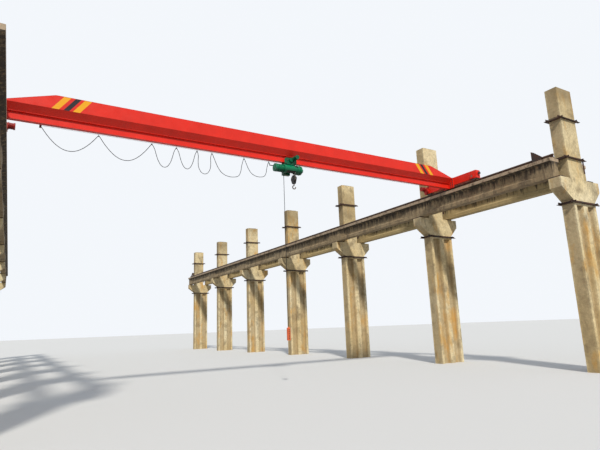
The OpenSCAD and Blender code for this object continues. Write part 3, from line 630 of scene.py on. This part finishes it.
def enamel(name, colour, dusty, roughness=0.32):
    material, tree, shader = new_material(name)
    film = noise(tree, 2.2, detail=6.0, roughness=0.6)
    tint = ramp(tree, film, [(0.3, tuple(0.86 * c for c in colour)), (0.62, colour)])
    dirt = noise(tree, 9.0, detail=9.0, roughness=0.7, stretch=(1.0, 1.0, 0.35))
    tint = stain(tree, tint, dusty, dirt, 0.60, 0.80, 0.45)
    sheen = noise(tree, 5.0, detail=6.0)
    rough = ramp(tree, sheen, [(0.3, grey(roughness - 0.06)), (0.75, grey(roughness + 0.2))])
    coat(tree, shader, tint, rough)
    shader.inputs["Specular IOR Level"].default_value = 0.3
    add_bump(tree, shader, noise(tree, 45.0, detail=3.0), 0.05, 0.002)
    return material, tree, shader, tint


def on_circle(centre_y, centre_z, radius, count, start=0.0):
    angles = [2 * math.pi * (k + start) / count for k in range(count)]
    return [(centre_y + radius * math.cos(angle), centre_z + radius * math.sin(angle)) for angle in angles]


red_enamel = enamel("red enamel", red, red_dust)[0]
finish_node(red_enamel, "end_carriage_right", "end_carriage_left")
for turn, side, label in ((facing_x, 1, "right"), (facing_back_x, -1, "left")):
    caps = [(row, end) for row in (-1, 1) for end in (-1, 1) if end == -1 or side == row]
    places = [(row * rail_x + side * cap_face, y, z) for row, end in caps
              for y, z in on_circle(bridge_y + end * wheel_half_base, wheel_z, cap_bolt_circle, cap_bolts)]
    set_bolts(f"cap_bolts_{label}", places, cap_bolt_size, turn, "bridge")

# Travel drives: cast gear case and ribbed motor in the same enamel, darkened with painted shade and
# dark dirt patches. Each is bolted over the far wheel's bearing, inside the carriage.
# Painted shade: the drives' red is much darker than the carriages' red.
shaded_dirty_red_enamel = enamel("shaded dirty red enamel", (0.30, 0.014, 0.010), (0.035, 0.022, 0.018), 0.4)[0]
finish_node(shaded_dirty_red_enamel, "drive_right", "drive_left")

# Travel wheels and festoon wire: forged wheels turned with their axles, and a drawn wire strained
# between two brackets. Both are bare steel, dull and a little greasy.
bare_steel = rusty("bare steel", (0.12, 0.11, 0.105), (0.24, 0.2, 0.17), 0.35, 0.75)
finish_node(bare_steel, "wheel_right_near", "wheel_right_far", "wheel_left_near", "wheel_left_far",
            "festoon_wire")

# Buffers: black rubber pads, each held in a red cup that is bolted to the carriage's end plate.
# The cup shows as the first 35 mm of the pad.
cup_end = 1.335
cup_edge = 0.001
rubber, tree, shader = new_material("buffer rubber")
rubber_tint = ramp(tree, noise(tree, 14.0), [(0.3, grey(0.014)), (0.8, grey(0.05))])
past_cup = step_up(tree, from_plane(tree, "Y", bridge_y), cup_end, cup_end + cup_edge)
coat(tree, shader, blend_colours(tree, past_cup, red, rubber_tint))
shader.inputs["Roughness"].default_value = 0.75
add_bump(tree, shader, noise(tree, 120.0), 0.2, 0.001)
finish_node(rubber, "buffers")

# Girder box: steel plate, folded and welded, in red enamel. Yellow and black slanting bars are
# painted near both ends of each side plate.
fold_z = 6.99
side_y = 0.199
bar_start = 5.80
bar_slant = 0.75
yellow = (0.80, 0.37, 0.010)
black = (0.015, 0.012, 0.016)
bar_edges = [(-0.05, 0.11, yellow), (0.19, 0.32, black), (0.42, 0.58, yellow)]
striped_enamel, tree, shader, tint = enamel("striped red enamel", red, red_dust)
on_side = calculate(tree, "GREATER_THAN", from_plane(tree, "Y", bridge_y), side_y)
above_fold = calculate(tree, "SUBTRACT", object_axis(tree, "Z"), fold_z)
rise = calculate(tree, "MULTIPLY", above_fold, bar_slant)
along = calculate(tree, "SUBTRACT", calculate(tree, "ADD", from_plane(tree, "X"), rise), bar_start)
for low, high, colour in bar_edges:
    inside = calculate(tree, "MULTIPLY", calculate(tree, "GREATER_THAN", along, low),
                       calculate(tree, "LESS_THAN", along, high))
    tint = blend_colours(tree, calculate(tree, "MULTIPLY", inside, on_side), tint, colour)
coat(tree, shader, tint)
finish_node(striped_enamel, "girder_box")

# Girder beam and joint plates: a rolled beam under the box, and two thick plates at each end. Rows
# of bolts through the plates hold the girder to its carriages.
joint_bolt_size = 0.017
joint_face_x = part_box("girder_box")[1].x
beam_bolts_y = (0.22, 0.12)
beam_bolts_z = (6.66, 6.745, 6.82)
box_bolts_y = 0.222
box_bolts_z = (6.90, 6.975)
joint_places = [(y, z) for y in beam_bolts_y for z in beam_bolts_z]
joint_places += [(box_bolts_y, z) for z in box_bolts_z]
finish_node(red_enamel, "girder_beam", "joint_plates")
for side, turn, label in ((-1, facing_x, "left"), (1, facing_back_x, "right")):
    places = [(side * joint_face_x, bridge_y + mirror * y, z) for y, z in joint_places for mirror in (-1, 1)]
    set_bolts(f"joint_bolts_{label}", places, joint_bolt_size, turn, "bridge")

# Weld beads of the girder: one along each edge where the folded plates meet the rolled beam and the
# top plate. A round section follows the edge, and its size wavers as a hand-laid bead does.
bead_size = 0.0035
bead_step = 0.03
waver_scale = 22.0
least_waver = 0.5
box_top_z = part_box("girder_box")[1].z
shoulder_x = 6.298
taper_end_z = 7.015
top_edge_y = 0.1995
low_edge_y = 0.0635
low_edge_z = 6.8405
top_line = [(-joint_face_x, taper_end_z), (-shoulder_x, box_top_z), (shoulder_x, box_top_z),
            (joint_face_x, taper_end_z)]
low_line = [(-joint_face_x, low_edge_z), (joint_face_x, low_edge_z)]

bead_tree, group_in = new_tree("weld beads", [("Size", "NodeSocketFloat"), ("Finish", "NodeSocketMaterial")])
edge = add_node(bead_tree, "GeometryNodeMeshToCurve", [("Mesh", group_in.outputs["Places"])])
fine = add_node(bead_tree, "GeometryNodeResampleCurve", [
    ("Curve", edge.outputs["Curve"]), ("Length", bead_step)], mode="LENGTH")
waver = add_node(bead_tree, "ShaderNodeTexNoise", [("Scale", waver_scale), ("Detail", 2.0)])
share = add_node(bead_tree, "ShaderNodeMath", [(0, waver.outputs["Fac"]), (1, least_waver)],
                 operation="ADD")
ring = add_node(bead_tree, "GeometryNodeCurvePrimitiveCircle", [("Resolution", 6), ("Radius", 1.0)])
bead = add_node(bead_tree, "GeometryNodeCurveToMesh", [
    ("Curve", fine.outputs["Curve"]), ("Profile Curve", ring.outputs["Curve"]),
    ("Scale", times(bead_tree, share.outputs[0], group_in.outputs["Size"])), ("Fill Caps", True)])
finish_tree(bead_tree, group_in, bead.outputs["Mesh"])

places = []
edges = []
for side in (-1, 1):
    for line, y in ((low_line, low_edge_y), (top_line, top_edge_y)):
        edges += [(len(places) + k, len(places) + k + 1) for k in range(len(line) - 1)]
        places += [(x, bridge_y + side * y, z) for x, z in line]
grow("girder_weld_beads", bead_tree, places, {"Size": bead_size, "Finish": red_enamel},
     "bridge", edges)

# Trolley: two plates cut from sheet on tie rods, with a small drive, in older green paint under
# grease. Nuts close the rods' ends and the wheels' axles outside both plates.
trolley_nut_size = 0.0195
trolley_x = 0.28
plate_face_y = 0.096
rod_x = 0.15
rod_z = 6.592
axle_x = 0.12
axle_z = 6.694
greasy_green = enamel("greasy green enamel", (0.003, 0.105, 0.048), (0.012, 0.02, 0.013), 0.38)[0]
finish_node(greasy_green, "trolley_frame", "trolley_drive")
rod_places = [(trolley_x + end * rod_x, rod_z) for end in (-1, 1)]
axle_places = [(trolley_x + end * axle_x, axle_z) for end in (-1, 1)]
for side, turn, label, spots in ((-1, facing_back_y, "near", rod_places + axle_places[:1]),
                                 (1, facing_y, "far", rod_places + axle_places)):
    places = [(x, bridge_y + side * plate_face_y, z) for x, z in spots]
    set_bolts(f"trolley_nuts_{label}", places, trolley_nut_size, turn, "trolley")

# Trolley wheels, hook block and cable hangers: turned, cut and bent steel in black paint. The
# hangers' rings slide on the festoon wire.
black_paint = enamel("black paint", (0.018, 0.018, 0.02), (0.07, 0.06, 0.05), 0.4)[0]
finish_node(black_paint, "trolley_wheels", "hook_block", *(f"hanger_{k}" for k in range(1, 8)))

# Hoist: motor, drum casing, gearbox and control box, green enamel over castings and plate, with painted
# shade on the lower part. Rings of bolts hold the casing, six bolts the gearbox's cover and four screws
# the box's lid.
hoist_z = 6.43
low_shade_top = 0.10
low_shade_bottom = -0.02
shade_edge_reach = 0.16
casing_low, casing_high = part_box("hoist_casing")
ring_width = 0.014
ring_bolts = 12
ring_bolt_size = 0.0048
ring_bolt_circle = 0.1425
gearbox_end_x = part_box("hoist_gearbox")[1].x
cover_bolts = 6
cover_bolt_size = 0.006
cover_circle = 0.045
box_low, box_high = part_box("control_box")
lid_edge = 0.02
lid_half = 0.11

green_enamel, tree, shader, tint = enamel("green enamel", (0.002, 0.19, 0.085), (0.016, 0.04, 0.02), 0.28)
# Painted shade: from just above the axis downward the green turns near black, with a wavy edge.
shade_edge_noise = calculate(tree, "MULTIPLY", noise(tree, 7.0, detail=6.0, roughness=0.6), shade_edge_reach)
height = calculate(tree, "ADD", object_axis(tree, "Z"), shade_edge_noise)
painted_low_shade = step_up(tree, height, hoist_z + low_shade_top, hoist_z + low_shade_bottom, 0.8)
coat(tree, shader, blend_colours(tree, painted_low_shade, tint, (0.004, 0.035, 0.018)))
finish_node(green_enamel, "hoist_casing", "hoist_motor", "hoist_gearbox", "control_box")

for face_x, turn, label in ((casing_low.x + ring_width, facing_x, "start"),
                            (casing_high.x - ring_width, facing_back_x, "end")):
    places = [(face_x, y, z)
              for y, z in on_circle(bridge_y, hoist_z, ring_bolt_circle, ring_bolts, start=0.5)]
    set_bolts(f"casing_bolts_{label}", places, ring_bolt_size, turn, "trolley")
places = [(gearbox_end_x, y, z) for y, z in on_circle(bridge_y, hoist_z, cover_circle, cover_bolts)]
set_bolts("gearbox_cover_bolts", places, cover_bolt_size, facing_x, "trolley")
places = [(x, box_high.y, z) for x in (box_low.x + lid_edge, box_high.x - lid_edge)
          for z in (hoist_z - lid_half, hoist_z + lid_half)]
set_bolts("lid_screws", places, cover_bolt_size, facing_y, "trolley")

# Drum: a grooved casting, dark with grease, seen through the casing's slot. It turns on bearings
# in the casing's ends.
greased_iron = rusty("greased iron", (0.02, 0.019, 0.018), (0.07, 0.06, 0.05), 0.35, 0.75)
finish_node(greased_iron, "hoist_drum")

# Sheave and hook: a turned sheave between the block's cheeks, and a forged hook whose shank turns
# under a nut. Both are bare steel like the wheels.
finish_node(bare_steel, "hook", "hook_sheave")

# Pendant control: moulded orange-red plastic with a fine grain, hung on its cable.
# Its push buttons are black.
case_front = 0.0325
button_y = pendant_place.y - case_front
pendant_plastic, tree, shader = new_material("pendant plastic")
plastic_tint = ramp(tree, noise(tree, 12.0), [(0.3, (0.62, 0.10, 0.025)), (0.7, (0.75, 0.14, 0.035))])
on_button = calculate(tree, "LESS_THAN", object_axis(tree, "Y"), button_y)
coat(tree, shader, blend_colours(tree, on_button, plastic_tint, grey(0.02)))
shader.inputs["Roughness"].default_value = 0.5
add_bump(tree, shader, noise(tree, 500.0), 0.15, 0.0005)
finish_node(pendant_plastic, "pendant")

# Floor and light: a plain pale floor, a soft sun from the front left and an even sky. The floor and
# the sky show a paler colour to the camera and in gloss than the one that lights the crane.
floor_half = 400.0
floor_seen = (0.64, 0.64, 0.63)
floor_lighting = (0.36, 0.35, 0.33)
sky_seen = (0.90, 0.93, 0.97, 1.0)
sky_lighting = (0.80, 0.88, 1.0, 1.0)
sky_strength = 0.58
sun_strength = 3.2
sun_width = 5.0
sun_tilt = 50.0
sun_turn = -24.0


def seen_directly(tree):
    ray = tree.nodes.new("ShaderNodeLightPath")
    return calculate(tree, "MAXIMUM", ray.outputs["Is Camera Ray"], ray.outputs["Is Glossy Ray"])


pale, tree, shader = new_material("pale floor")
coat(tree, shader, blend_colours(tree, seen_directly(tree), floor_lighting, floor_seen))
shader.inputs["Roughness"].default_value = 0.9
corners = [Vector((x * floor_half, y * floor_half, 0.0)) for x, y in ((-1, -1), (1, -1), (1, 1), (-1, 1))]
floor = link_mesh("floor", corners, [(0, 1, 2, 3)], pale)

world = bpy.data.worlds.new("sky")
bpy.context.scene.world = world
world.use_nodes = True
tree = world.node_tree
lighting = tree.nodes["Background"]
lighting.inputs["Color"].default_value = sky_lighting
lighting.inputs["Strength"].default_value = sky_strength
seen = tree.nodes.new("ShaderNodeBackground")
seen.inputs["Color"].default_value = sky_seen
mixed = tree.nodes.new("ShaderNodeMixShader")
tree.links.new(seen_directly(tree), mixed.inputs["Fac"])
tree.links.new(lighting.outputs["Background"], mixed.inputs[1])
tree.links.new(seen.outputs["Background"], mixed.inputs[2])
tree.links.new(mixed.outputs["Shader"], tree.nodes["World Output"].inputs["Surface"])

sun_data = bpy.data.lights.new("sun", "SUN")
sun_data.energy = sun_strength
sun_data.angle = math.radians(sun_width)
sun_data.color = (1.0, 0.95, 0.86)
sun = bpy.data.objects.new("sun", sun_data)
sun.rotation_euler = (math.radians(sun_tilt), 0.0, math.radians(sun_turn))
bpy.context.scene.collection.objects.link(sun)
